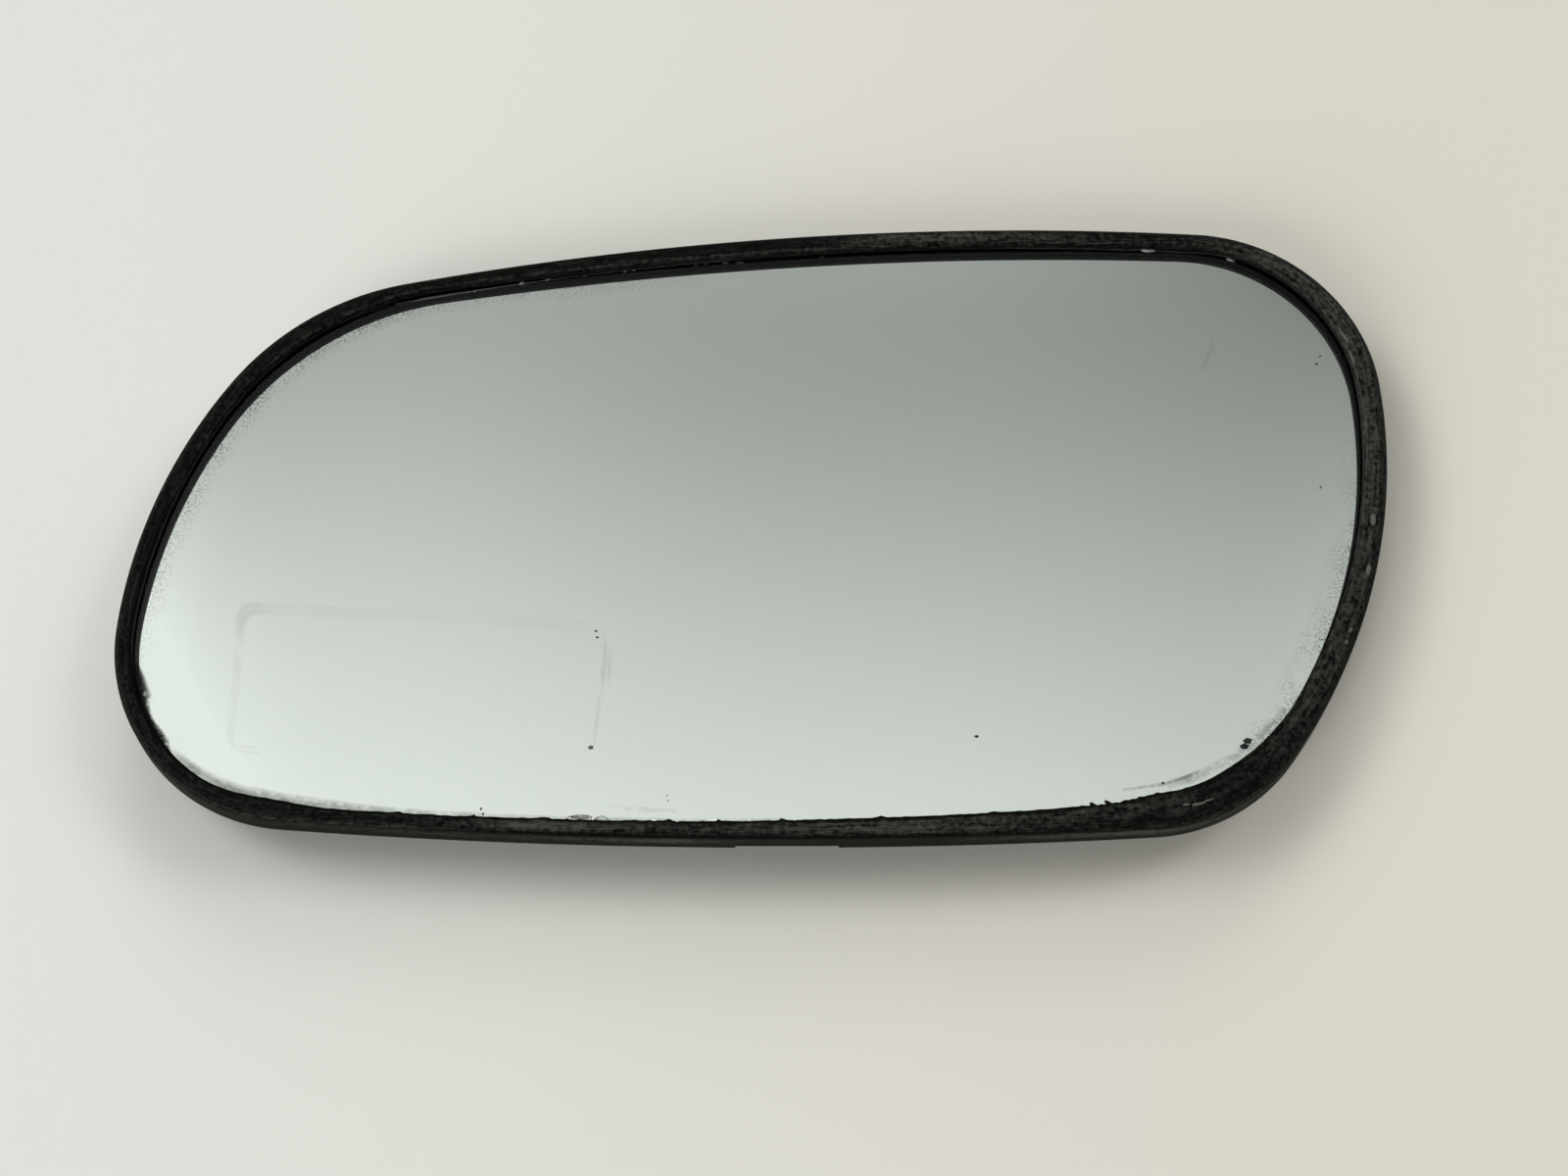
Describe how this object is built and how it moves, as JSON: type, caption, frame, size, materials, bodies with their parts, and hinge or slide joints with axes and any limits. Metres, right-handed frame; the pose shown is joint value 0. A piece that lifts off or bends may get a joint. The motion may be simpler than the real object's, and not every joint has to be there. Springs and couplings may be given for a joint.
{
  "type": "car door mirror glass",
  "caption": "Convex mirror glass with a rounded, tapering outline, bonded into a lipped plastic holder whose rear claws clip over the round pivot plate of a door mirror motor.",
  "frame": {"origin": "middle of the outline's box, on the axis of the claw ring, in the plane of the claw tips that the part lies on with its glass facing up", "axes": "+X along the glass towards its larger end, +Y towards its upper edge, +Z out of the glass towards the driver"},
  "size_m": [0.1714, 0.0884, 0.016],
  "materials": {
    "mirror_glass": "float glass silvered on its back face, bent to a gentle convex curve",
    "bonding_foam": "closed-cell foam sheet with adhesive on both faces",
    "holder_plastic": "black injection-moulded plastic, satin, weathered to grey along the lip"
  },
  "bodies": {
    "root": {"mirror_glass": "mirror_glass", "adhesive_pad": "bonding_foam", "glass_holder": "holder_plastic"}
  },
  "joints": []
}
